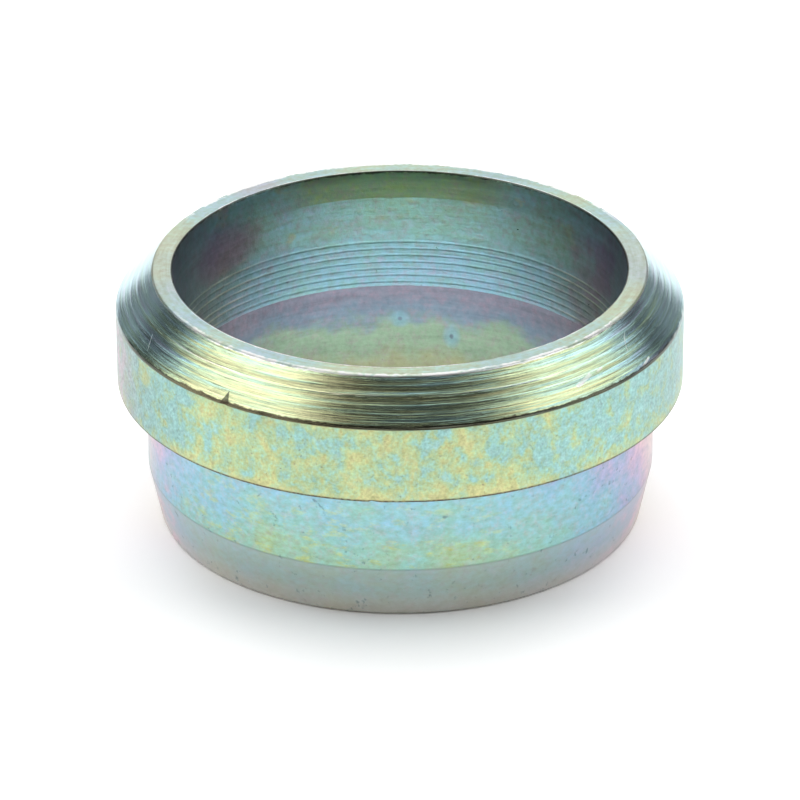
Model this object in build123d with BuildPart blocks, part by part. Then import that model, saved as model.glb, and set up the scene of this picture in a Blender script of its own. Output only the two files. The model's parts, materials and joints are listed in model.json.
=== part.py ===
from build123d import *
import math
import os

# Cutting ring for a compression fitting on a 20 mm tube.
# One turned piece: from the foot up, a coned nose, a cylindrical collar and a 45 degree shoulder.
# The origin is at the centre of the nose's end face, and +Z runs up the axis to the rim.

# Driving dimensions, in mm
tube_od = 20.0
tube_clearance = 0.2
nose_wall = 1.35
collar_step = 1.3
rim_width = 0.87
height = 11.8
collar_width = 3.6
cone_length = 2.5
cone_half_angle = 12.0
shoulder_angle = 45.0

# Lead-in at the rim end of the bore
lead_in_length = 1.3
lead_in_angle = 3.5

# Gripping grooves in the bore, above the relief
groove_count = 7
groove_pitch = 0.34
groove_width = 0.12
groove_depth = 0.04
first_groove_above_relief = 0.25

# Relief behind the cutting edge
relief_depth = 0.2
relief_top = 5.95
relief_floor = 3.2
cutting_land = 1.2

# Edges as turned
rim_break = 0.07
shoulder_break = 0.05
collar_chamfer = 0.1
root_chamfer = 0.2
foot_round = 0.15


def along_cone(length, angle):
    """Change of radius over a length of cone with this half-angle."""
    return length * math.tan(math.radians(angle))


# Radii and heights that follow from them: the nose comes to 22.9 across and the collar to 25.5
bore_radius = (tube_od + tube_clearance) / 2
relief_radius = bore_radius + relief_depth
mouth_radius = bore_radius + along_cone(lead_in_length, lead_in_angle)
rim_radius = mouth_radius + rim_width
nose_radius = bore_radius + nose_wall
foot_radius = nose_radius - along_cone(cone_length, cone_half_angle)
collar_radius = nose_radius + collar_step
collar_top = height - (collar_radius - rim_radius) / math.tan(math.radians(shoulder_angle))
collar_bottom = collar_top - collar_width
lead_in_start = height - lead_in_length
first_groove = relief_top + first_groove_above_relief


with BuildPart() as cutting_ring:
    with BuildSketch(Plane.XZ) as section:
        # The outside, from the cutting edge round to the mouth, and back down the bore
        with BuildLine():
            foot_face = Line((bore_radius, 0), (foot_radius, 0))
            cone = Line(foot_face @ 1, (nose_radius, cone_length))
            nose = Line(cone @ 1, (nose_radius, collar_bottom))
            step = Line(nose @ 1, (collar_radius, collar_bottom))
            collar = Line(step @ 1, (collar_radius, collar_top))
            shoulder = Line(collar @ 1, (rim_radius, height))
            rim = Line(shoulder @ 1, (mouth_radius, height))
            lead_in = Line(rim @ 1, (bore_radius, lead_in_start))
            rear_wall = Line(lead_in @ 1, (bore_radius, relief_top))
            relief_edge = Line(rear_wall @ 1, (relief_radius, relief_top))
            relief_wall = Line(relief_edge @ 1, (relief_radius, relief_floor))
            relief_slope = Line(relief_wall @ 1, (bore_radius, cutting_land))
            Line(relief_slope @ 1, foot_face @ 0)
        make_face()

        # Turned edges: each is broken by a small chamfer, and the foot's outer edge is rounded
        edge_breaks = {
            rim @ 0: rim_break,
            rim @ 1: rim_break,
            shoulder @ 0: shoulder_break,
            collar @ 0: collar_chamfer,
            nose @ 1: root_chamfer,
        }
        for corner, size in edge_breaks.items():
            chamfer(section.vertices().sort_by_distance(corner)[0], length=size)
        fillet(section.vertices().sort_by_distance(cone @ 0)[0], radius=foot_round)
    revolve(axis=Axis.Z)

    # V grooves round the bore, drawn from as far inside the wall's face as they are deep
    groove_places = [(bore_radius, first_groove + groove_pitch * n) for n in range(groove_count)]
    with BuildSketch(Plane.XZ) as grooves:
        with Locations(*groove_places):
            Polygon(
                (-groove_depth, -groove_width),
                (groove_depth, 0),
                (-groove_depth, groove_width),
                align=None,
            )
    revolve(axis=Axis.Z, mode=Mode.SUBTRACT)

cutting_ring.part.label = "cutting_ring"

os.makedirs("parts", exist_ok=True)
export_step(cutting_ring.part, "parts/cutting_ring.step")

print("bore radius", round(bore_radius, 3), "mouth radius", round(mouth_radius, 3))
print("rim radius", round(rim_radius, 3), "foot radius", round(foot_radius, 3))
print("collar from", round(collar_bottom, 3), "to", round(collar_top, 3))
print("volume", round(cutting_ring.part.volume, 1), "faces", len(cutting_ring.part.faces()))
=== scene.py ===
import json
import math

import bpy
import numpy as np
from mathutils import Matrix, Vector


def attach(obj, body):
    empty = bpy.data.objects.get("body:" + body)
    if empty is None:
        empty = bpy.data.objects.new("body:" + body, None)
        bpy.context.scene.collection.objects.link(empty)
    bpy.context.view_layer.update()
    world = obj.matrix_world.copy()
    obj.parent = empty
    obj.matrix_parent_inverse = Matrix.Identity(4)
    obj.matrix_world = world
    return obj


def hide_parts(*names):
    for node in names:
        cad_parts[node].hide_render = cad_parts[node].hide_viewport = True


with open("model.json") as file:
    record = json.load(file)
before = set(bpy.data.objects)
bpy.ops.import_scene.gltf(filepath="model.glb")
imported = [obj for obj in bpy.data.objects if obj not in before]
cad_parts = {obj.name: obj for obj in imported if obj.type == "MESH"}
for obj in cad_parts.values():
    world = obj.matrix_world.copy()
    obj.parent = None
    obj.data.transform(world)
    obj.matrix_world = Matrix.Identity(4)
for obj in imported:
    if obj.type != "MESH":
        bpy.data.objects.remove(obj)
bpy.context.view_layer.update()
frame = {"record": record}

# Sizes of the ring in mm: the bore and the height come from the frame, the rest follow as on the part
MM = 0.001
mounts = {mount["name"]: mount for mount in frame["record"]["mounts"]}
BORE = mounts["tube_bore"]["dims"]["r_mm"]
HEIGHT = mounts["rim_end"]["pos_m"][2] / MM
NOSE_WALL = 1.35
COLLAR_STEP = 1.3
RIM_WIDTH = 0.87
COLLAR_WIDTH = 3.6
CONE_LENGTH = 2.5
CONE_SLOPE = math.tan(math.radians(12.0))
LEAD_IN = 1.3
LEAD_IN_SLOPE = math.tan(math.radians(3.5))
RELIEF_DEPTH = 0.2
RELIEF_TOP = 5.95
RELIEF_FLOOR = 3.2
CUTTING_LAND = 1.2
GROOVES = 7
GROOVE_PITCH = 0.34
GROOVE_WIDTH = 0.12
GROOVE_DEPTH = 0.022
GROOVE_LAND = 0.08
FIRST_GROOVE = RELIEF_TOP + 0.25

MOUTH = BORE + LEAD_IN * LEAD_IN_SLOPE
RIM = MOUTH + RIM_WIDTH
NOSE = BORE + NOSE_WALL
COLLAR = NOSE + COLLAR_STEP
COLLAR_TOP = HEIGHT - (COLLAR - RIM)
COLLAR_BOTTOM = COLLAR_TOP - COLLAR_WIDTH
FOOT = NOSE - CONE_LENGTH * CONE_SLOPE

# The turned mesh: steps round the axis, and spacing of the rows along the section on each surface
STEPS = 570
ROWS = {"foot": 0.4, "nose": 0.6, "step": 0.5, "collar": 0.4, "shoulder": 0.045, "rim": 0.2, "bore": 0.7}
SEED = 7


def rounded(before, corner, after, size):
    """Points round a corner of the section, on an arc that starts and ends this far from it."""
    a, c, b = (np.array(point, float) for point in (before, corner, after))
    start = c + (a - c) / np.linalg.norm(a - c) * size
    end = c + (b - c) / np.linalg.norm(b - c) * size
    return [tuple((1 - t) ** 2 * start + 2 * t * (1 - t) * c + t * t * end) for t in (0, 1 / 3, 2 / 3, 1)]


def section():
    """The ring's outline: radius, height and the surface of the run after each point, foot to rim to bore."""
    corners = [
        (BORE, 0.0, 0.03, "foot"),
        (FOOT, 0.0, 0.18, "nose"),
        (NOSE, CONE_LENGTH, 0.08, "nose"),
        (NOSE, COLLAR_BOTTOM, 0.2, "step"),
        (COLLAR, COLLAR_BOTTOM, 0.09, "collar"),
        (COLLAR, COLLAR_TOP, 0.10, "shoulder"),
        (RIM, HEIGHT, 0.07, "rim"),
        (MOUTH, HEIGHT, 0.07, "bore"),
        (BORE, HEIGHT - LEAD_IN, 0.04, "bore"),
    ]
    for n in reversed(range(GROOVES)):
        middle = FIRST_GROOVE + n * GROOVE_PITCH
        for off, depth in ((GROOVE_LAND, 0), (GROOVE_WIDTH / 2, 0), (0, GROOVE_DEPTH),
                           (-GROOVE_WIDTH / 2, 0), (-GROOVE_LAND, 0)):
            corners.append((BORE + depth, middle + off, 0, "bore"))
    corners += [
        (BORE, RELIEF_TOP, 0.03, "bore"),
        (BORE + RELIEF_DEPTH, RELIEF_TOP, 0.03, "bore"),
        (BORE + RELIEF_DEPTH, RELIEF_FLOOR, 0.5, "bore"),
        (BORE, CUTTING_LAND, 0.2, "bore"),
    ]
    points = []
    for n, (radius, height, size, surface) in enumerate(corners):
        before = corners[n - 1][:2]
        after = corners[(n + 1) % len(corners)][:2]
        here = rounded(before, (radius, height), after, size) if size else [(radius, height)]
        points += [(*point, surface) for point in here]
    filled = []
    for n, (radius, height, surface) in enumerate(points):
        following = points[(n + 1) % len(points)]
        gap = math.dist((radius, height), following[:2])
        count = max(1, math.ceil(gap / ROWS[surface]))
        for k in range(count):
            t = k / count
            filled.append((radius + (following[0] - radius) * t, height + (following[1] - height) * t, surface))
    return filled


def smooth_noise(rng, knots, steps):
    """A smooth random curve round the ring: a value for each step, through this many random knots."""
    places = np.arange(steps) / steps * knots
    base = np.floor(places).astype(int)
    t = places - base
    t = t * t * (3 - 2 * t)
    values = rng.standard_normal(knots)
    return values[base % knots] * (1 - t) + values[(base + 1) % knots] * t


def turned_marks(rng, count, knots, depth):
    """Tool marks round a surface: one ridge height for each row and step, fading in and out round it."""
    return depth * np.array([smooth_noise(rng, knots, STEPS) for _ in range(count)])


# The shoulder's main rings: place down the slope from 0 to 1, width in mm, and height, negative for a groove
RINGS = [
    (0.10, 0.05, -0.004),
    (0.20, 0.05, 0.005),
    (0.29, 0.07, -0.009),
    (0.39, 0.08, 0.011),
    (0.46, 0.05, -0.007),
    (0.58, 0.07, 0.009),
    (0.66, 0.06, -0.007),
    (0.74, 0.04, 0.004),
    (0.86, 0.05, -0.005),
]

# Edges worn by handling: radius and height of the corner, and depth of the wear
WORN_EDGES = [
    (RIM, HEIGHT, 0.012),
    (MOUTH, HEIGHT, 0.014),
    (COLLAR, COLLAR_TOP, 0.010),
    (COLLAR, COLLAR_BOTTOM, 0.008),
]

# Nicks: place round the ring in degrees, place along the section in mm (radius, height), half sizes, depth
NICKS = [
    (-36.8, COLLAR, COLLAR_TOP, 0.16, 0.36, 0.07),
    (-42.2, COLLAR, COLLAR_TOP, 0.22, 0.16, 0.05),
    (-27.2, COLLAR, COLLAR_TOP, 0.30, 0.14, 0.05),
    (14.7, COLLAR, COLLAR_TOP, 0.2, 0.14, 0.04),
    (40.8, COLLAR, COLLAR_TOP, 0.24, 0.18, 0.05),
    (-5.5, COLLAR, COLLAR_BOTTOM, 0.1, 0.2, 0.06),
    (152.0, COLLAR, COLLAR_TOP, 0.2, 0.25, 0.08),
    (-118.0, COLLAR, COLLAR_BOTTOM, 0.18, 0.2, 0.06),
]


def turned_ring():
    """The ring as one closed mesh: the section turned round the axis, with its marks and nicks in the surface."""
    rng = np.random.default_rng(SEED)
    points = section()
    radius = np.array([point[0] for point in points])
    height = np.array([point[1] for point in points])
    surfaces = [point[2] for point in points]
    rows = len(points)

    # Which way is out of the metal at each point of the section
    along = np.stack([np.roll(radius, -1) - np.roll(radius, 1), np.roll(height, -1) - np.roll(height, 1)])
    along /= np.linalg.norm(along, axis=0)
    out_r, out_z = along[1], -along[0]

    angle = np.arange(STEPS) / STEPS * math.tau
    lift = np.zeros((rows, STEPS))
    on_shoulder = np.array([s == "shoulder" for s in surfaces])
    calm = 0.15 + 0.85 * np.cos(angle) ** 2
    lift[on_shoulder] += turned_marks(rng, on_shoulder.sum(), 9, 0.0025) * calm
    lift[on_shoulder] += turned_marks(rng, on_shoulder.sum(), 40, 0.0008) * calm
    down_slope = (HEIGHT - height) / (HEIGHT - COLLAR_TOP)
    slope_length = math.hypot(COLLAR - RIM, HEIGHT - COLLAR_TOP)
    for place, width, rise in RINGS:
        across = (down_slope - place) * slope_length / width
        fade = np.clip(0.7 + 0.5 * smooth_noise(rng, 9, STEPS), 0.1, 1.4) * calm
        lift += rise * np.exp(-across**2)[:, None] * on_shoulder[:, None] * fade[None, :]
    for at_r, at_z, depth in WORN_EDGES:
        wear = np.maximum(smooth_noise(rng, 220, STEPS), 0) * np.maximum(smooth_noise(rng, 14, STEPS) + 0.6, 0)
        near = np.exp(-(np.hypot(radius - at_r, height - at_z) / 0.09) ** 2)
        lift -= depth * near[:, None] * np.minimum(wear, 1.6)[None, :]

    for degrees, at_r, at_z, half_width, half_length, depth in NICKS:
        turn = (angle - math.radians(degrees) + math.pi) % math.tau - math.pi
        across = turn[None, :] * at_r / half_width
        down = np.hypot(radius - at_r, height - at_z)[:, None] / half_length
        lift -= depth * np.exp(-(across**2) - down**2)

    r = radius[:, None] + lift * out_r[:, None]
    z = np.maximum(height[:, None] + lift * out_z[:, None], 0.0)
    x, y = r * np.sin(angle), -r * np.cos(angle)
    vertices = np.stack([x, y, z], axis=-1).reshape(-1, 3) * MM

    row, step = np.meshgrid(np.arange(rows), np.arange(STEPS), indexing="ij")
    next_row, next_step = (row + 1) % rows, (step + 1) % STEPS
    faces = np.stack([row * STEPS + step, row * STEPS + next_step, next_row * STEPS + next_step,
                      next_row * STEPS + step], axis=-1).reshape(-1, 4)

    mesh = bpy.data.meshes.new("turned_ring")
    mesh.from_pydata(vertices.tolist(), [], faces.tolist())
    mesh.polygons.foreach_set("use_smooth", [True] * len(mesh.polygons))
    names = list(SURFACES)
    slots = np.repeat([names.index(s) for s in surfaces], STEPS)
    mesh.polygons.foreach_set("material_index", slots.astype(np.int32))
    mesh.update()
    print("turned ring rows", rows, "triangles", 2 * len(mesh.polygons))
    return mesh


def linear(red, green, blue):
    """A colour given in 0 to 255 as it looks, turned into the linear colour that a node takes."""
    return tuple((v / 12.92 if v <= 0.04045 else ((v + 0.055) / 1.055) ** 2.4) for v in (red / 255, green / 255, blue / 255)) + (1.0,)


# The film's colours as it gets thicker
FILM = [
    (0.00, (196, 176, 150)),
    (0.12, (216, 200, 146)),
    (0.26, (206, 214, 150)),
    (0.40, (182, 212, 166)),
    (0.54, (158, 210, 200)),
    (0.66, (150, 200, 218)),
    (0.78, (164, 180, 212)),
    (0.88, (192, 170, 200)),
    (1.00, (212, 178, 186)),
]
# Where the film is thin the steel shows pale through it
PALE = (236, 240, 226)
GREY = (150, 154, 150)


METALLIC = 0.9
# Turned grooves spread a reflection across themselves, a quarter turn from the tangent
ACROSS_GROOVES = 0.25


class Plating:
    """A material of plated steel, built node by node. Each method returns the socket that it makes."""

    def __init__(self, name):
        self.material = bpy.data.materials.new(name)
        self.material.use_nodes = True
        self.tree = self.material.node_tree
        self.tree.nodes.clear()
        place = self.node("ShaderNodeTexCoord").outputs["Object"]
        scaled = self.node("ShaderNodeVectorMath", operation="SCALE")
        self.link(scaled, 0, place)
        scaled.inputs["Scale"].default_value = 1 / MM
        self.place = scaled.outputs[0]
        split = self.node("ShaderNodeSeparateXYZ")
        self.link(split, 0, self.place)
        self.x, self.y, self.z = split.outputs
        self.radius = self.math("SQRT", self.math("ADD", self.math("MULTIPLY", self.x, self.x),
                                                  self.math("MULTIPLY", self.y, self.y)))
        self.along = self.math("SUBTRACT", self.z, self.radius)
        # Degrees round the ring: 0 at its front, 90 at its right, and 180 or -180 at its back
        behind = self.math("MULTIPLY", self.y, -1.0)
        self.turn = self.math("MULTIPLY", self.math("ARCTAN2", self.x, behind), math.degrees(1.0))
        # 1 at the front and the back of the ring, 0 at its sides
        self.facing = self.math("ABSOLUTE", self.math("DIVIDE", self.y, self.radius))

    def node(self, kind, **settings):
        made = self.tree.nodes.new(kind)
        for key, value in settings.items():
            setattr(made, key, value)
        return made

    def link(self, node, socket, value):
        if isinstance(value, bpy.types.NodeSocket):
            self.tree.links.new(value, node.inputs[socket])
        else:
            node.inputs[socket].default_value = value

    def math(self, operation, a, b=0.0, clamp=False):
        made = self.node("ShaderNodeMath", operation=operation, use_clamp=clamp)
        self.link(made, 0, a)
        self.link(made, 1, b)
        return made.outputs[0]

    def remap(self, value, low, high, to_low=0.0, to_high=1.0, kind="SMOOTHSTEP"):
        made = self.node("ShaderNodeMapRange", interpolation_type=kind)
        for socket, number in enumerate((value, low, high, to_low, to_high)):
            self.link(made, socket, number)
        return made.outputs[0]

    def vector(self, x, y, z):
        made = self.node("ShaderNodeCombineXYZ")
        for socket, value in enumerate((x, y, z)):
            self.link(made, socket, value)
        return made.outputs[0]

    def noise(self, vector, scale=1.0, detail=3.0, roughness=0.55, distortion=0.0):
        """Noise from about -1 to 1."""
        made = self.node("ShaderNodeTexNoise")
        for socket, value in (("Vector", vector), ("Scale", scale), ("Detail", detail),
                              ("Roughness", roughness), ("Distortion", distortion)):
            self.link(made, socket, value)
        return self.math("MULTIPLY", self.math("SUBTRACT", made.outputs["Fac"], 0.5), 3.0)

    def turned(self, around, along):
        """Coordinates for marks that run round the ring: stretched round it, and fine along the section."""
        return self.vector(self.math("MULTIPLY", self.math("DIVIDE", self.x, self.radius), around),
                           self.math("MULTIPLY", self.math("DIVIDE", self.y, self.radius), around),
                           self.math("MULTIPLY", self.along, along))

    def total(self, *terms):
        """The sum of terms, each a socket or a pair of a socket and its weight."""
        result = None
        for term in terms:
            value = self.math("MULTIPLY", *term) if isinstance(term, tuple) else term
            result = value if result is None else self.math("ADD", result, value)
        return result

    def film_colour(self, thickness):
        ramp = self.node("ShaderNodeValToRGB")
        elements = ramp.color_ramp.elements
        while len(elements) < len(FILM):
            elements.new(0.5)
        for element, (position, colour) in zip(elements, FILM):
            element.position = position
            element.color = linear(*colour)
        self.link(ramp, 0, thickness)
        return ramp.outputs[0]

    def toward(self, colour, amount, other):
        """The colour mixed with another by this amount."""
        mix = self.node("ShaderNodeMix", data_type="RGBA")
        self.link(mix, "Factor", amount)
        self.link(mix, 6, colour)
        self.link(mix, 7, linear(*other))
        return mix.outputs[2]

    def blend(self, colour, amount, other):
        """Two colour sockets mixed by this amount."""
        mix = self.node("ShaderNodeMix", data_type="RGBA")
        self.link(mix, "Factor", amount)
        self.link(mix, 6, colour)
        self.link(mix, 7, other)
        return mix.outputs[2]

    def flecked(self, colour, amount, other=(204, 180, 188)):
        """The colour with small rosy flecks all over it."""
        flecks = self.remap(self.noise(self.place, 2.4, 4, 0.75), -0.25, 0.75)
        return self.toward(colour, self.math("MULTIPLY", flecks, amount), other)

    def brightened(self, colour, factor):
        made = self.node("ShaderNodeVectorMath", operation="SCALE")
        self.link(made, 0, colour)
        self.link(made, "Scale", factor)
        return made.outputs[0]

    def around(self, start, end, soft):
        """1 between these places round the ring, in degrees, and 0 away from them."""
        rise = self.remap(self.turn, start - soft, start + soft)
        fall = self.remap(self.turn, end - soft, end + soft, 1.0, 0.0)
        return self.math("MULTIPLY", rise, fall)

    def spot(self, degrees, height, width, tall):
        """1 at a place on the ring and 0 outside an oval round it, its half width in degrees and height in mm."""
        across = self.math("DIVIDE", self.math("SUBTRACT", self.turn, degrees), width)
        up = self.math("DIVIDE", self.math("SUBTRACT", self.z, height), tall)
        off = self.math("ADD", self.math("MULTIPLY", across, across), self.math("MULTIPLY", up, up))
        return self.remap(off, 0.0, 1.0, 1.0, 0.0)

    def scratch(self, start, end, width):
        """1 on a straight scratch between two places (degrees round the ring, height in mm), this wide in mm."""
        to_mm = math.radians(COLLAR)
        run = ((end[0] - start[0]) * to_mm, (end[1] - start[1]) * math.sqrt(2))
        length = math.hypot(*run)
        ahead = (run[0] / length, run[1] / length)
        x = self.math("MULTIPLY", self.math("SUBTRACT", self.turn, start[0]), to_mm)
        y = self.math("MULTIPLY", self.math("SUBTRACT", self.z, start[1]), math.sqrt(2))
        along = self.total((x, ahead[0]), (y, ahead[1]))
        off = self.math("ABSOLUTE", self.total((x, -ahead[1]), (y, ahead[0])))
        inside = self.math("MULTIPLY", self.remap(along, -0.1, 0.1), self.remap(along, length - 0.1, length + 0.1, 1, 0))
        return self.math("MULTIPLY", inside, self.remap(off, width * 0.3, width, 1.0, 0.0))

    def wedge(self, degrees, half_base, tall):
        """1 inside a triangle that stands on the shoulder's lower edge, its base and height in mm."""
        across = self.math("ABSOLUTE", self.math("SUBTRACT", self.turn, degrees))
        across = self.math("MULTIPLY", across, math.radians(COLLAR) / half_base)
        up = self.math("MULTIPLY", self.math("SUBTRACT", self.z, COLLAR_TOP), math.sqrt(2) / tall)
        return self.remap(self.math("ADD", across, up), 0.85, 1.1, 1.0, 0.0)

    def bump(self, height, distance):
        made = self.node("ShaderNodeBump")
        made.inputs["Strength"].default_value = 1.0
        made.inputs["Distance"].default_value = distance * MM
        self.link(made, "Height", height)
        return made.outputs[0]

    def finish(self, colour, roughness, normal, anisotropy):
        shader = self.node("ShaderNodeBsdfPrincipled")
        shader.inputs["Metallic"].default_value = METALLIC
        shader.inputs["Anisotropic"].default_value = anisotropy
        shader.inputs["Anisotropic Rotation"].default_value = ACROSS_GROOVES
        self.link(shader, "Base Color", colour)
        self.link(shader, "Roughness", roughness)
        self.link(shader, "Normal", normal)
        if anisotropy:
            tangent = self.node("ShaderNodeTangent", direction_type="RADIAL", axis="Z")
            self.link(shader, "Tangent", tangent.outputs[0])
        output = self.node("ShaderNodeOutputMaterial")
        self.link(output, "Surface", shader.outputs[0])
        return self.material


def collar_steel():
    """The collar: a mottled, grainy satin, yellow-green in front and aqua at the sides, warm along its foot, with
    painted shade at its sides and along its lower edge.
    """
    m = Plating("collar_steel")
    broad = m.noise(m.place, 0.40, 3)
    clouds = m.noise(m.vector(m.x, m.y, m.math("MULTIPLY", m.z, 0.8)), 1.3, 4, 0.6, 0.4)
    grain = m.noise(m.place, 2.9, 4, 0.7)
    fine = m.noise(m.place, 7.5, 3, 0.65)
    side = m.remap(m.turn, 16, 40, 0.0, 0.17)
    left = m.remap(m.turn, -56, -38, 0.17, 0.0)
    warm = m.remap(m.z, COLLAR_BOTTOM + 1.0, COLLAR_BOTTOM, 0.0, -0.14)
    film = m.total(side, left, warm, (broad, 0.14), (clouds, 0.34), (grain, 0.20), (fine, 0.05))
    film = m.math("MINIMUM", m.math("MAXIMUM", m.math("ADD", film, 0.39), 0.22), 0.57)
    colour = m.flecked(m.toward(m.film_colour(film), 0.06, PALE), 0.16, (206, 186, 176))
    pink = m.math("MULTIPLY", m.around(-88, -70, 8), m.remap(clouds, -0.5, 0.4, 0.1, 0.8))
    colour = m.toward(colour, pink, (222, 190, 204))
    drips = m.vector(m.x, m.y, m.math("MULTIPLY", m.z, 0.4))
    stains = m.remap(m.noise(drips, 2.4, 4, 0.7), 0.36, 0.85)
    stains = m.math("MULTIPLY", stains, m.remap(m.z, COLLAR_BOTTOM, COLLAR_TOP, 0.25, 1.0))
    stained = m.remap(m.around(26, 64, 8), 0.0, 1.0, 0.5, 0.85)
    colour = m.toward(colour, m.math("MULTIPLY", stains, stained), GREY)
    specks = m.remap(m.noise(m.place, 5.2, 3, 0.65), 0.30, 0.75)
    colour = m.toward(colour, m.math("MULTIPLY", specks, 0.55), (132, 134, 128))
    foot = m.remap(m.z, COLLAR_BOTTOM + 0.15, COLLAR_BOTTOM + 0.07)
    rust = m.math("MULTIPLY", m.remap(m.z, COLLAR_BOTTOM + 0.45, COLLAR_BOTTOM + 0.05), m.remap(fine, 0.1, 0.6))
    colour = m.toward(colour, m.math("MULTIPLY", rust, 0.5), (222, 170, 128))
    # Painted shade: a dark line along the collar's lower edge, which faces the floor's shadow under the collar.
    colour = m.toward(colour, m.math("MULTIPLY", foot, m.math("ADD", fine, 0.85, clamp=True)), (96, 88, 80))
    # Painted shade: the collar is made darker at its sides.
    sides = m.remap(m.facing, 0.25, 0.75, -0.20, 0.0)
    right = m.around(26, 84, 12)
    shade = m.total((grain, 0.30), (fine, 0.26), (clouds, 0.12), (film, -0.40), sides, (right, 0.07))
    colour = m.brightened(colour, m.math("ADD", shade, 0.965))
    roughness = m.math("ADD", m.total((grain, 0.08), (specks, 0.1)), 0.36)
    return m.finish(colour, roughness, m.bump(m.total((grain, 0.8), (fine, 0.6)), 0.012), 0.0)


# Scratches on the shoulder: two places, each in degrees round the ring and down the slope, and width in mm
SCRATCHES = [
    ((38.5, 0.75), (43.0, 0.62), 0.13),
    ((45.0, 0.63), (46.6, 0.60), 0.07),
    ((55.8, 0.57), (57.6, 0.32), 0.014),
    ((57.0, 0.40), (58.6, 0.28), 0.013),
    ((-65.2, 0.56), (-63.0, 0.82), 0.009),
    ((57.0, 0.97), (60.0, 0.90), 0.07),
    ((118.0, 0.30), (124.0, 0.55), 0.05),
    ((-131.0, 0.60), (-127.0, 0.35), 0.05),
]


# The notch at the foot of the shoulder: degrees round the ring, half its base and its height up the slope in mm
NOTCH = (-36.8, 0.21, 0.60)


def shoulder_steel():
    """The shoulder: bright turned steel with fine rings and scratches, gold to green, blue at the sides."""
    m = Plating("shoulder_steel")
    broad = m.noise(m.place, 0.25, 2)
    wide_rings = m.noise(m.turned(1.5, 2.2), 1.0, 3, 0.65)
    fine_rings = m.noise(m.turned(2.6, 8.0), 1.0, 3, 0.7)
    hue_rings = m.noise(m.turned(1.8, 2.8), 1.0, 3, 0.7)
    rubbed = m.noise(m.turned(120.0, 0.8), 1.0, 2, 0.6)
    side = m.remap(m.facing, 0.45, 0.72, 0.22, 0.0)
    gold = m.math("MULTIPLY", m.around(-48, -12, 8), -0.11)
    film = m.total(side, gold, (broad, 0.08), (hue_rings, 0.36), (fine_rings, 0.08))
    film = m.math("MAXIMUM", m.math("ADD", film, 0.42, clamp=True), 0.22)
    colour = m.toward(m.film_colour(film), 0.22, PALE)
    slope = HEIGHT - COLLAR_TOP
    slope_length = math.hypot(COLLAR - RIM, slope)
    down = m.math("DIVIDE", m.math("SUBTRACT", HEIGHT, m.z), slope)
    rings = None
    for place, width, rise in RINGS:
        off = m.math("MULTIPLY", m.math("ABSOLUTE", m.math("SUBTRACT", down, place)), slope_length)
        ring = m.remap(off, width * 0.2, width * 1.3, rise / 0.011, 0.0)
        rings = ring if rings is None else m.math("ADD", rings, ring)
    rings = m.math("MULTIPLY", rings, m.math("ADD", wide_rings, 0.8))
    marks = None
    for start, end, width in SCRATCHES:
        mark = m.scratch((start[0], HEIGHT - start[1] * slope), (end[0], HEIGHT - end[1] * slope), width)
        marks = mark if marks is None else m.math("MAXIMUM", marks, mark)
    colour = m.toward(colour, m.math("MULTIPLY", marks, 0.6), (250, 252, 246))
    colour = m.toward(colour, m.math("MULTIPLY", m.wedge(*NOTCH), 0.85), (64, 68, 56))
    jagged = m.math("ADD", m.z, m.math("MULTIPLY", m.noise(m.place, 2.4, 3, 0.7), 0.06))
    edge = m.remap(jagged, COLLAR_TOP + 0.09, COLLAR_TOP + 0.04)
    colour = m.toward(colour, m.math("MULTIPLY", edge, 0.88), (78, 68, 54))
    # Painted highlight: the shoulder's top edge, ragged from wear, is painted near white.
    wear_and_highlight = m.remap(jagged, HEIGHT - 0.09, HEIGHT - 0.03)
    colour = m.toward(colour, m.math("MULTIPLY", wear_and_highlight, 0.9), (252, 252, 248))
    dull = m.remap(m.facing, 0.12, 0.42, 0.5, 0.0)
    colour = m.toward(colour, dull, (150, 182, 186))
    # The main rings are painted darker along their grooves and lighter along their ridges: painted shade and
    # painted highlight, beside their bumps.
    shade = m.total((wide_rings, 0.40), (fine_rings, 0.50), (rubbed, 0.05), (rings, 0.45), (marks, 0.25))
    shade = m.math("MULTIPLY", shade, m.remap(m.facing, 0.15, 0.55, 0.45, 1.0))
    colour = m.brightened(colour, m.math("MAXIMUM", m.math("ADD", shade, 1.06), 0.20))
    roughness = m.math("ADD", m.total((fine_rings, 0.05), (rubbed, 0.02), (marks, 0.3)), 0.21)
    turned = m.total((wide_rings, 1.0), (fine_rings, 0.8), (rings, 0.8))
    turned = m.math("MULTIPLY", turned, m.remap(m.facing, 0.1, 0.6, 0.2, 1.0))
    relief = m.total(turned, (rubbed, 0.05), (marks, -0.9))
    return m.finish(colour, roughness, m.bump(relief, 0.011), 0.5)


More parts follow.
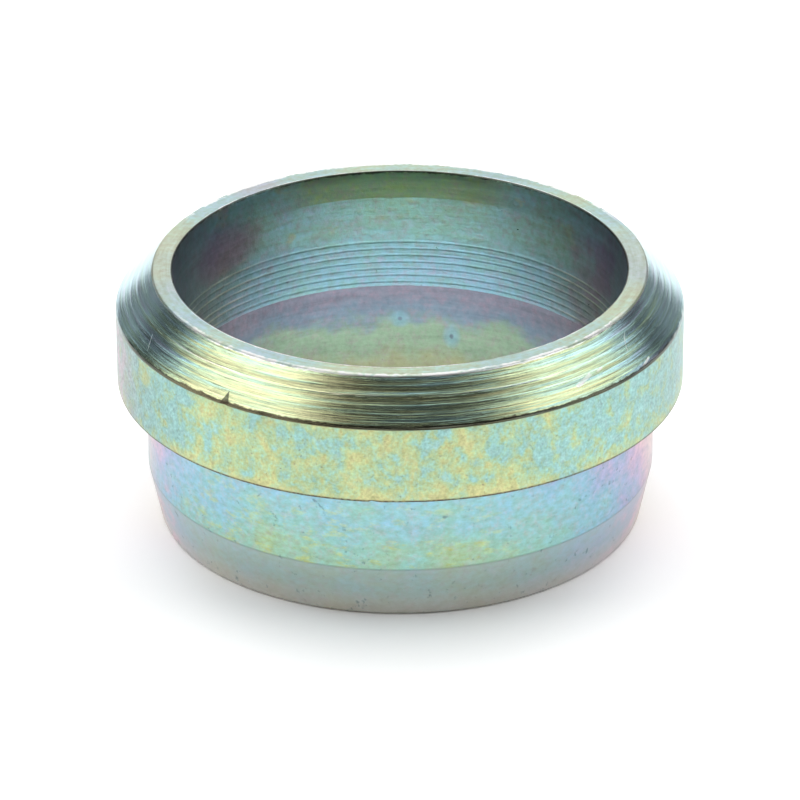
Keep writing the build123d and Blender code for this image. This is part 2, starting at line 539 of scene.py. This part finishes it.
def nose_steel():
    """The nose: smooth satin, blue and cyan, with green and gold patches, pink at its sides, and painted light
    towards its foot.
    """
    m = Plating("nose_steel")
    broad = m.noise(m.place, 0.4, 3)
    cells = m.vector(m.x, m.y, m.math("MULTIPLY", m.z, 1.6))
    grain = m.noise(cells, 2.6, 4, 0.65)
    top = m.remap(m.z, COLLAR_BOTTOM - 1.2, COLLAR_BOTTOM - 0.4, 0.0, 0.07)
    line = m.remap(m.z, CONE_LENGTH + 2.4, CONE_LENGTH + 0.2, 0.0, -0.10)
    side = m.remap(m.facing, 0.2, 0.80, 0.27, 0.0)
    right = m.math("MULTIPLY", m.around(30, 90, 14), 0.11)
    under = m.math("MULTIPLY", m.remap(m.z, COLLAR_BOTTOM - 0.9, COLLAR_BOTTOM - 0.1),
                   m.remap(m.facing, 0.96, 0.75, 0.0, 0.23))
    film = m.total(top, line, side, right, under, (broad, 0.16), (grain, 0.07))
    film = m.math("ADD", film, 0.585, clamp=True)
    colour = m.flecked(m.film_colour(film), 0.36)
    on_cone = m.remap(m.z, CONE_LENGTH + 0.03, CONE_LENGTH - 0.03)
    above = m.remap(m.z, CONE_LENGTH - 0.03, CONE_LENGTH + 0.03)
    flat = m.vector(m.x, m.y, m.math("MULTIPLY", m.z, 2.4))
    gold = m.remap(m.noise(flat, 0.9, 5, 0.7), 0.0, 0.55)
    gold = m.math("MULTIPLY", gold, m.around(-55, 24, 14))
    gold = m.math("MULTIPLY", gold, m.remap(m.z, COLLAR_BOTTOM, CONE_LENGTH + 0.6, 0.3, 1.0))
    gold = m.math("MULTIPLY", gold, m.math("ADD", m.math("MULTIPLY", above, 0.75), 0.25))
    colour = m.toward(colour, m.math("MULTIPLY", gold, 0.8), (206, 216, 136))
    # Brownish grey towards the foot, and lighter there: painted light that lifts the floor's shadow on the cone.
    foot = m.remap(m.z, 1.6, 0.1)
    colour = m.toward(colour, m.math("MULTIPLY", on_cone, 0.55), (178, 182, 190))
    colour = m.toward(colour, m.math("MULTIPLY", foot, 0.6), (204, 190, 180))
    flush = m.remap(m.noise(cells, 0.6, 3, 0.6), 0.0, 0.7)
    flush = m.math("MULTIPLY", flush, m.remap(m.facing, 0.3, 0.75, 0.7, 0.0))
    colour = m.toward(colour, flush, (222, 186, 200))
    beige = m.remap(m.facing, 0.40, 0.12, 0.0, 0.5)
    colour = m.toward(colour, beige, (214, 204, 184))
    dashes = m.noise(m.turned(30.0, 3.0), 1.0, 3, 0.6)
    specks = m.remap(dashes, 0.36, 0.75)
    colour = m.toward(colour, m.math("MULTIPLY", specks, 0.6), (86, 118, 122))
    stains = m.remap(m.noise(m.place, 1.7, 4, 0.7), 0.38, 0.85)
    colour = m.toward(colour, m.math("MULTIPLY", stains, 0.4), (158, 150, 146))
    corner = m.remap(m.math("ABSOLUTE", m.math("SUBTRACT", m.z, CONE_LENGTH)), 0.02, 0.08, 0.35, 0.0)
    colour = m.toward(colour, m.math("MULTIPLY", corner, m.math("ADD", grain, 0.8)), (104, 112, 104))
    calm = m.math("ADD", m.math("MULTIPLY", above, 0.5), 0.5)
    shade = m.total((m.math("MULTIPLY", grain, calm), 0.26), (broad, 0.05), (on_cone, 0.09), (foot, 0.11))
    colour = m.brightened(colour, m.math("ADD", shade, 0.89))
    roughness = m.math("ADD", m.math("MULTIPLY", grain, 0.05), 0.33)
    return m.finish(colour, roughness, m.bump(m.total(grain, (specks, -0.6)), 0.006), 0.0)


def rim_steel():
    """The rim's flat face: pale mint, beige at its sides, with a lilac spot, and a painted highlight along its
    edges, which wear has made ragged.
    """
    m = Plating("rim_steel")
    broad = m.noise(m.place, 0.22, 2)
    grain = m.noise(m.place, 3.4, 3, 0.6)
    rings = m.noise(m.turned(4.0, 5.0), 1.0, 3, 0.6)
    film = m.math("ADD", m.total((broad, 0.34), (rings, 0.14), (grain, 0.14)), 0.47, clamp=True)
    colour = m.toward(m.film_colour(film), 0.42, (226, 236, 230))
    colour = m.flecked(colour, 0.22)
    beige = m.remap(m.facing, 0.50, 0.10, 0.0, 0.4)
    colour = m.toward(colour, beige, (206, 200, 182))
    lilac = m.math("MULTIPLY", m.spot(-142, HEIGHT, 9.0, 1.0), 0.5)
    colour = m.toward(colour, lilac, (206, 190, 214))
    # Painted highlight: both edges of the rim, ragged from wear, are painted near white and brighter at the front
    # and the back.
    uneven = m.noise(m.place, 3.2, 3, 0.7)
    ragged = m.math("ADD", m.radius, m.math("MULTIPLY", uneven, 0.08))
    wear_and_highlight = m.math("MAXIMUM", m.remap(ragged, RIM - 0.19, RIM - 0.13), m.remap(ragged, MOUTH + 0.14, MOUTH + 0.09))
    wear_and_highlight = m.math("MULTIPLY", wear_and_highlight, m.remap(m.noise(m.place, 0.8, 3, 0.7), -0.4, 0.1, 0.1, 1.0))
    wear_and_highlight = m.math("MULTIPLY", wear_and_highlight, m.remap(m.facing, 0.35, 0.65))
    colour = m.toward(colour, m.math("MULTIPLY", wear_and_highlight, 0.9), (255, 255, 252))
    shade = m.total((rings, 0.22), (grain, 0.18), (wear_and_highlight, 0.25))
    colour = m.brightened(colour, m.math("ADD", shade, 0.92))
    roughness = m.math("ADD", m.math("MULTIPLY", rings, 0.04), 0.34)
    return m.finish(colour, roughness, m.bump(m.total(rings, (grain, 0.5)), 0.003), 0.4)


# Drops that dried in the bore: degrees round the ring, height, half width in degrees and half height in mm
BACK = 180.0
DROPS = [
    (BACK, 4.15, 3.2, 0.55),
    (166.4, 3.35, 2.9, 0.70),
    (-128.0, 4.4, 3.0, 0.5),
    (35.0, 4.0, 3.0, 0.5),
]


def bore_steel():
    """The bore: teal above the relief, mauve to yellow-green below it, slate at the sides, olive at its mouth."""
    m = Plating("bore_steel")
    broad = m.noise(m.place, 0.5, 3)
    patches = m.noise(m.vector(m.x, m.y, m.math("MULTIPLY", m.z, 1.5)), 0.55, 4, 0.6)
    grain = m.noise(m.place, 3.2, 4, 0.65)
    rings = m.noise(m.turned(4.0, 4.0), 1.0, 3, 0.6)
    level = m.total(m.z, (broad, 0.7), (patches, 0.6), (grain, 0.3))

    top_groove = FIRST_GROOVE + (GROOVES - 1) * GROOVE_PITCH
    grooved = m.remap(level, top_groove + 1.0, top_groove - 0.6)
    film = m.total((grooved, 0.10), (broad, 0.08), (grain, 0.07), (rings, 0.06))
    film = m.math("ADD", film, 0.54, clamp=True)
    wall = m.film_colour(film)
    gold = m.math("MULTIPLY", m.remap(patches, 0.25, 0.6), m.remap(m.z, top_groove, top_groove + 0.5))
    wall = m.toward(wall, m.math("MULTIPLY", gold, 0.5), (196, 204, 140))
    rosy = m.remap(m.noise(m.place, 0.8, 3, 0.6), 0.1, 0.7, 0.0, 0.3)
    wall = m.toward(wall, rosy, (176, 156, 178))

    # Below the relief's edge the colours run down from mauve through slate to yellow-green and straw
    low = m.toward(linear(142, 146, 162), m.remap(level, RELIEF_TOP - 0.4, RELIEF_TOP - 1.5), (134, 156, 174))
    low = m.toward(low, m.remap(level, RELIEF_TOP - 1.4, RELIEF_TOP - 2.5), (158, 188, 160))
    low = m.toward(low, m.remap(level, CUTTING_LAND + 1.7, CUTTING_LAND + 0.4), (178, 184, 146))
    below = m.remap(m.z, RELIEF_TOP + 0.01, RELIEF_TOP - 0.03)
    colour = m.blend(wall, below, low)

    mouth = m.remap(m.z, HEIGHT - LEAD_IN - 0.03, HEIGHT - LEAD_IN + 0.03)
    olive = m.math("MULTIPLY", mouth, m.remap(m.total(m.facing, (broad, 0.03), (grain, 0.02)), 0.85, 0.94))
    colour = m.toward(colour, m.math("MULTIPLY", olive, m.total((grain, 0.4), 0.75)), (160, 190, 130))
    slate = m.remap(m.math("ADD", m.facing, m.math("MULTIPLY", broad, 0.05)), 0.35, 0.88, 0.8, 0.0)
    colour = m.flecked(m.toward(colour, slate, (146, 146, 160)), 0.42, (180, 148, 166))
    maroon = m.math("MULTIPLY", m.remap(m.noise(m.place, 0.4, 2), 0.0, 0.6), slate)
    maroon = m.math("MAXIMUM", maroon, m.spot(-127, HEIGHT - 2.2, 17.0, 1.7))
    colour = m.toward(colour, m.math("MULTIPLY", maroon, 0.65), (156, 108, 146))

    # The grooves show as dark lines, and as pale ones at the sides where they catch the light
    phase = m.math("DIVIDE", m.math("SUBTRACT", m.z, FIRST_GROOVE - GROOVE_PITCH / 2), GROOVE_PITCH)
    off = m.math("ABSOLUTE", m.math("SUBTRACT", m.math("FRACT", phase), 0.5))
    lines = m.math("MULTIPLY", m.remap(off, 0.08, 0.2, 1.0, 0.0), m.remap(m.z, top_groove + 0.2, top_groove + 0.15))
    lines = m.math("MULTIPLY", lines, m.remap(m.z, FIRST_GROOVE - 0.2, FIRST_GROOVE - 0.15))
    caught = m.math("MULTIPLY", lines, m.remap(m.total(m.facing, (rings, 0.1)), 0.82, 0.62))
    caught = m.math("MULTIPLY", caught, m.remap(m.noise(m.turned(1.5, 2.5), 1.0, 2), -0.4, 0.3))
    colour = m.toward(colour, m.math("MULTIPLY", caught, 0.8), (214, 220, 214))

    # A dark line, broken here and there, along the edge of the mouth
    lip = m.math("ADD", m.z, m.math("MULTIPLY", m.noise(m.place, 2.6, 3, 0.7), 0.08))
    colour = m.toward(colour, m.remap(lip, HEIGHT - 0.12, HEIGHT - 0.04, 0.0, 0.8), (84, 86, 76))

    for degrees, height, width, tall in DROPS:
        drop = m.spot(degrees, height, width, tall)
        heart = m.spot(degrees, height, width * 0.25, tall * 0.25)
        if degrees == BACK:
            drop = m.math("MAXIMUM", drop, m.spot(-degrees, height, width, tall))
            heart = m.math("MAXIMUM", heart, m.spot(-degrees, height, width * 0.25, tall * 0.25))
        colour = m.toward(colour, m.math("MULTIPLY", drop, 0.6), (140, 190, 210))
        colour = m.toward(colour, m.math("MULTIPLY", heart, 0.6), (96, 90, 110))
    pits = m.remap(m.noise(m.place, 2.6, 3, 0.6), 0.55, 0.85)
    colour = m.toward(colour, m.math("MULTIPLY", pits, 0.5), (112, 84, 104))
    # Painted shade: a darker band on the wall, about 40 to 50 degrees round from its front and its back.
    painted_shade_band = m.math("MULTIPLY", m.remap(m.facing, 0.96, 0.78), m.remap(m.facing, 0.40, 0.62))
    shade = m.total((grain, 0.21), (rings, 0.14), (broad, 0.04), (painted_shade_band, -0.10))
    colour = m.brightened(colour, m.math("ADD", shade, 0.85))
    roughness = m.math("ADD", m.math("MULTIPLY", grain, 0.05), 0.31)
    return m.finish(colour, roughness, m.bump(m.total(grain, (rings, 0.6)), 0.005), 0.3)


SURFACES = {
    "foot": nose_steel,
    "nose": nose_steel,
    "step": nose_steel,
    "collar": collar_steel,
    "shoulder": shoulder_steel,
    "rim": rim_steel,
    "bore": bore_steel,
}


def build_ring():
    mesh = turned_ring()
    made = {}
    for maker in SURFACES.values():
        if maker not in made:
            made[maker] = maker()
        mesh.materials.append(made[maker])
    ring = bpy.data.objects.new("ring_turned", mesh)
    bpy.context.collection.objects.link(ring)
    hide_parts("cutting_ring")
    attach(ring, "root")
    return ring


# The camera of the photograph, in collar radii and degrees
CAMERA_DISTANCE = 20.0
CAMERA_ELEVATION = 26.484
CAMERA_ROLL = -0.0041
CAMERA_AIM = 0.5
PIXELS_PER_RADIUS = 282.404
PICTURE = 800
AIM_PIXEL = (400.137, 373.88)


def place_camera():
    """Stands the camera where the photograph was taken from, turned so that the aim falls on its pixel."""
    data = bpy.data.cameras.new("camera")
    data.sensor_width = 36.0
    data.lens = data.sensor_width * PIXELS_PER_RADIUS * CAMERA_DISTANCE / PICTURE
    data.clip_start = 0.01
    data.clip_end = 10.0
    unit = COLLAR * MM
    elevation = math.radians(CAMERA_ELEVATION)
    forward = Vector((0.0, math.cos(elevation), -math.sin(elevation)))
    side = Vector((1.0, 0.0, 0.0))
    up = side.cross(forward)
    place = Vector((0.0, 0.0, CAMERA_AIM * unit)) - forward * CAMERA_DISTANCE * unit
    across = side * math.cos(CAMERA_ROLL) + up * math.sin(CAMERA_ROLL)
    over = up * math.cos(CAMERA_ROLL) - side * math.sin(CAMERA_ROLL)
    off_right = (PICTURE / 2 - AIM_PIXEL[0]) / PIXELS_PER_RADIUS
    off_up = (AIM_PIXEL[1] - PICTURE / 2) / PIXELS_PER_RADIUS
    ahead = (forward * CAMERA_DISTANCE + across * off_right + over * off_up).normalized()
    across = ahead.cross(over).normalized()
    over = across.cross(ahead)
    turn = Matrix((across, over, -ahead)).transposed().to_4x4()
    camera = bpy.data.objects.new("camera", data)
    camera.matrix_world = Matrix.Translation(place) @ turn
    bpy.context.collection.objects.link(camera)
    bpy.context.scene.camera = camera


def direction(azimuth, elevation):
    """A unit vector: azimuth 0 is the camera's side of the ring and 90 its right, in degrees."""
    a, e = math.radians(azimuth), math.radians(elevation)
    return Vector((math.sin(a) * math.cos(e), -math.cos(a) * math.cos(e), math.sin(e)))


LAMP_DISTANCE = 0.40
CARD_DISTANCE = 0.80

# Lamps, which light the floor and its shadow and are too soft for the metal to show: azimuth and elevation of
# the middle, width and depth as seen from the ring, in degrees, and radiance
LAMPS = {
    "lamp_left": (-110, 44, 66, 60, 1.6),
    "lamp_right": (110, 44, 66, 60, 1.6),
    "lamp_back": (180, 50, 60, 40, 1.7),
    "lamp_top": (0, 88, 34, 34, 1.6),
    "lamp_front": (0, 45, 60, 40, 0.5),
}

# Cards of the studio, which only reflections meet: azimuths and elevations in degrees, and brightness
CARDS = {
    "card_front": ((-44, 60), (1, 89), 0.0),
    "card_left": ((-112, -44), (26, 66), 1.7),
    "card_left_low": ((-112, -44), (1, 26), 0.5),
    "card_left_high": ((-112, -44), (66, 89), 0.45),
    "card_right": ((60, 118), (24, 64), 1.5),
    "card_right_low": ((60, 118), (1, 24), 0.5),
    "card_right_high": ((60, 118), (64, 89), 0.45),
    "card_top": ((162, 198), (48, 88), 1.2),
    "card_gap_left": ((-131, -112), (1, 89), 0.0),
    "card_gap_right": ((118, 133), (1, 89), 0.0),
    "card_rear_left": ((-162, -131), (1, 89), 0.22),
    "card_rear_right": ((133, 162), (1, 89), 0.22),
}


def lamp(name, azimuth, elevation, width, depth, radiance):
    """A rectangular lamp that faces the ring and fills this much of its sky."""
    data = bpy.data.lights.new(name, "AREA")
    data.shape = "RECTANGLE"
    data.size = 2 * LAMP_DISTANCE * math.tan(math.radians(width / 2))
    data.size_y = 2 * LAMP_DISTANCE * math.tan(math.radians(depth / 2))
    data.energy = radiance * math.pi * data.size * data.size_y
    made = bpy.data.objects.new(name, data)
    place = direction(azimuth, elevation) * LAMP_DISTANCE
    made.matrix_world = Matrix.Translation(place) @ (-place).to_track_quat("-Z", "Y").to_matrix().to_4x4()
    made.visible_camera = False
    made.visible_glossy = False
    bpy.context.collection.objects.link(made)


# A narrow lamp above the ring that lights the floor inside its bore
SNOOT_ENERGY = 3.2


def snoot():
    data = bpy.data.lights.new("lamp_bore", "SPOT")
    data.energy = SNOOT_ENERGY
    data.spot_size = 2 * math.atan(BORE * MM / LAMP_DISTANCE)
    data.spot_blend = 0.2
    data.shadow_soft_size = 0.001
    made = bpy.data.objects.new("lamp_bore", data)
    made.location = (0, 0, LAMP_DISTANCE)
    made.visible_glossy = False
    bpy.context.collection.objects.link(made)


def card(name, azimuths, elevations, brightness, steps=(12, 12)):
    """A card of the studio on a sphere round the ring."""
    wide = steps[0] + 1
    corners = [direction(a, e) * CARD_DISTANCE for e in np.linspace(*elevations, steps[1] + 1)
               for a in np.linspace(*azimuths, wide)]
    faces = [(n, n + 1, n + wide + 1, n + wide) for n in range(steps[1] * wide) if n % wide < steps[0]]
    mesh = bpy.data.meshes.new(name)
    mesh.from_pydata(corners, [], faces)
    material = bpy.data.materials.new(name)
    material.use_nodes = True
    tree = material.node_tree
    tree.nodes.clear()
    glow = tree.nodes.new("ShaderNodeEmission")
    glow.inputs["Strength"].default_value = brightness
    output = tree.nodes.new("ShaderNodeOutputMaterial")
    tree.links.new(glow.outputs[0], output.inputs["Surface"])
    mesh.materials.append(material)
    made = bpy.data.objects.new(name, mesh)
    made.visible_camera = False
    made.visible_diffuse = False
    made.visible_shadow = False
    bpy.context.collection.objects.link(made)


AMBIENT = 0.0


def seen_rays(tree):
    """1 for the camera's rays and those that metal and glass send on, and 0 for the light that falls on things."""
    paths = tree.nodes.new("ShaderNodeLightPath")
    result = paths.outputs["Is Camera Ray"]
    for kind in ("Is Glossy Ray", "Is Transmission Ray"):
        larger = tree.nodes.new("ShaderNodeMath")
        larger.operation = "MAXIMUM"
        tree.links.new(result, larger.inputs[0])
        tree.links.new(paths.outputs[kind], larger.inputs[1])
        result = larger.outputs[0]
    return result


def light_scene():
    for name, facts in LAMPS.items():
        lamp(name, *facts)
    snoot()
    for name, facts in CARDS.items():
        card(name, *facts)

    world = bpy.data.worlds.new("studio")
    bpy.context.scene.world = world
    world.use_nodes = True
    tree = world.node_tree
    tree.nodes.clear()
    seen = seen_rays(tree)
    lighting = tree.nodes.new("ShaderNodeBackground")
    lighting.inputs["Color"].default_value = (1, 1, 1, 1)
    lighting.inputs["Strength"].default_value = AMBIENT
    backdrop = tree.nodes.new("ShaderNodeBackground")
    backdrop.inputs["Color"].default_value = (1, 1, 1, 1)
    backdrop.inputs["Strength"].default_value = 1.0
    mix = tree.nodes.new("ShaderNodeMixShader")
    tree.links.new(seen, mix.inputs["Fac"])
    tree.links.new(lighting.outputs[0], mix.inputs[1])
    tree.links.new(backdrop.outputs[0], mix.inputs[2])
    output = tree.nodes.new("ShaderNodeOutputWorld")
    tree.links.new(mix.outputs[0], output.inputs["Surface"])


FLOOR_SIZE = 4.0
FLOOR_COLOUR = 0.95
FLOOR_WHITE = 1.26


def lay_floor():
    """A plain white floor that keeps the ring's shadow, and that the camera sees a little brighter."""
    mesh = bpy.data.meshes.new("floor")
    half = FLOOR_SIZE / 2
    mesh.from_pydata([(-half, -half, 0), (half, -half, 0), (half, half, 0), (-half, half, 0)], [], [(0, 1, 2, 3)])
    material = bpy.data.materials.new("floor_white")
    material.use_nodes = True
    tree = material.node_tree
    tree.nodes.clear()
    diffuse = tree.nodes.new("ShaderNodeBsdfDiffuse")
    seen = seen_rays(tree)
    colour = tree.nodes.new("ShaderNodeMix")
    colour.data_type = "RGBA"
    colour.inputs[6].default_value = (FLOOR_COLOUR, FLOOR_COLOUR, FLOOR_COLOUR, 1)
    colour.inputs[7].default_value = (FLOOR_WHITE, FLOOR_WHITE, FLOOR_WHITE, 1)
    tree.links.new(seen, colour.inputs[0])
    tree.links.new(colour.outputs[2], diffuse.inputs["Color"])
    output = tree.nodes.new("ShaderNodeOutputMaterial")
    tree.links.new(diffuse.outputs[0], output.inputs["Surface"])
    mesh.materials.append(material)
    floor = bpy.data.objects.new("floor", mesh)
    bpy.context.collection.objects.link(floor)


build_ring()
lay_floor()
light_scene()
place_camera()
bpy.context.scene.view_settings.view_transform = "Standard"
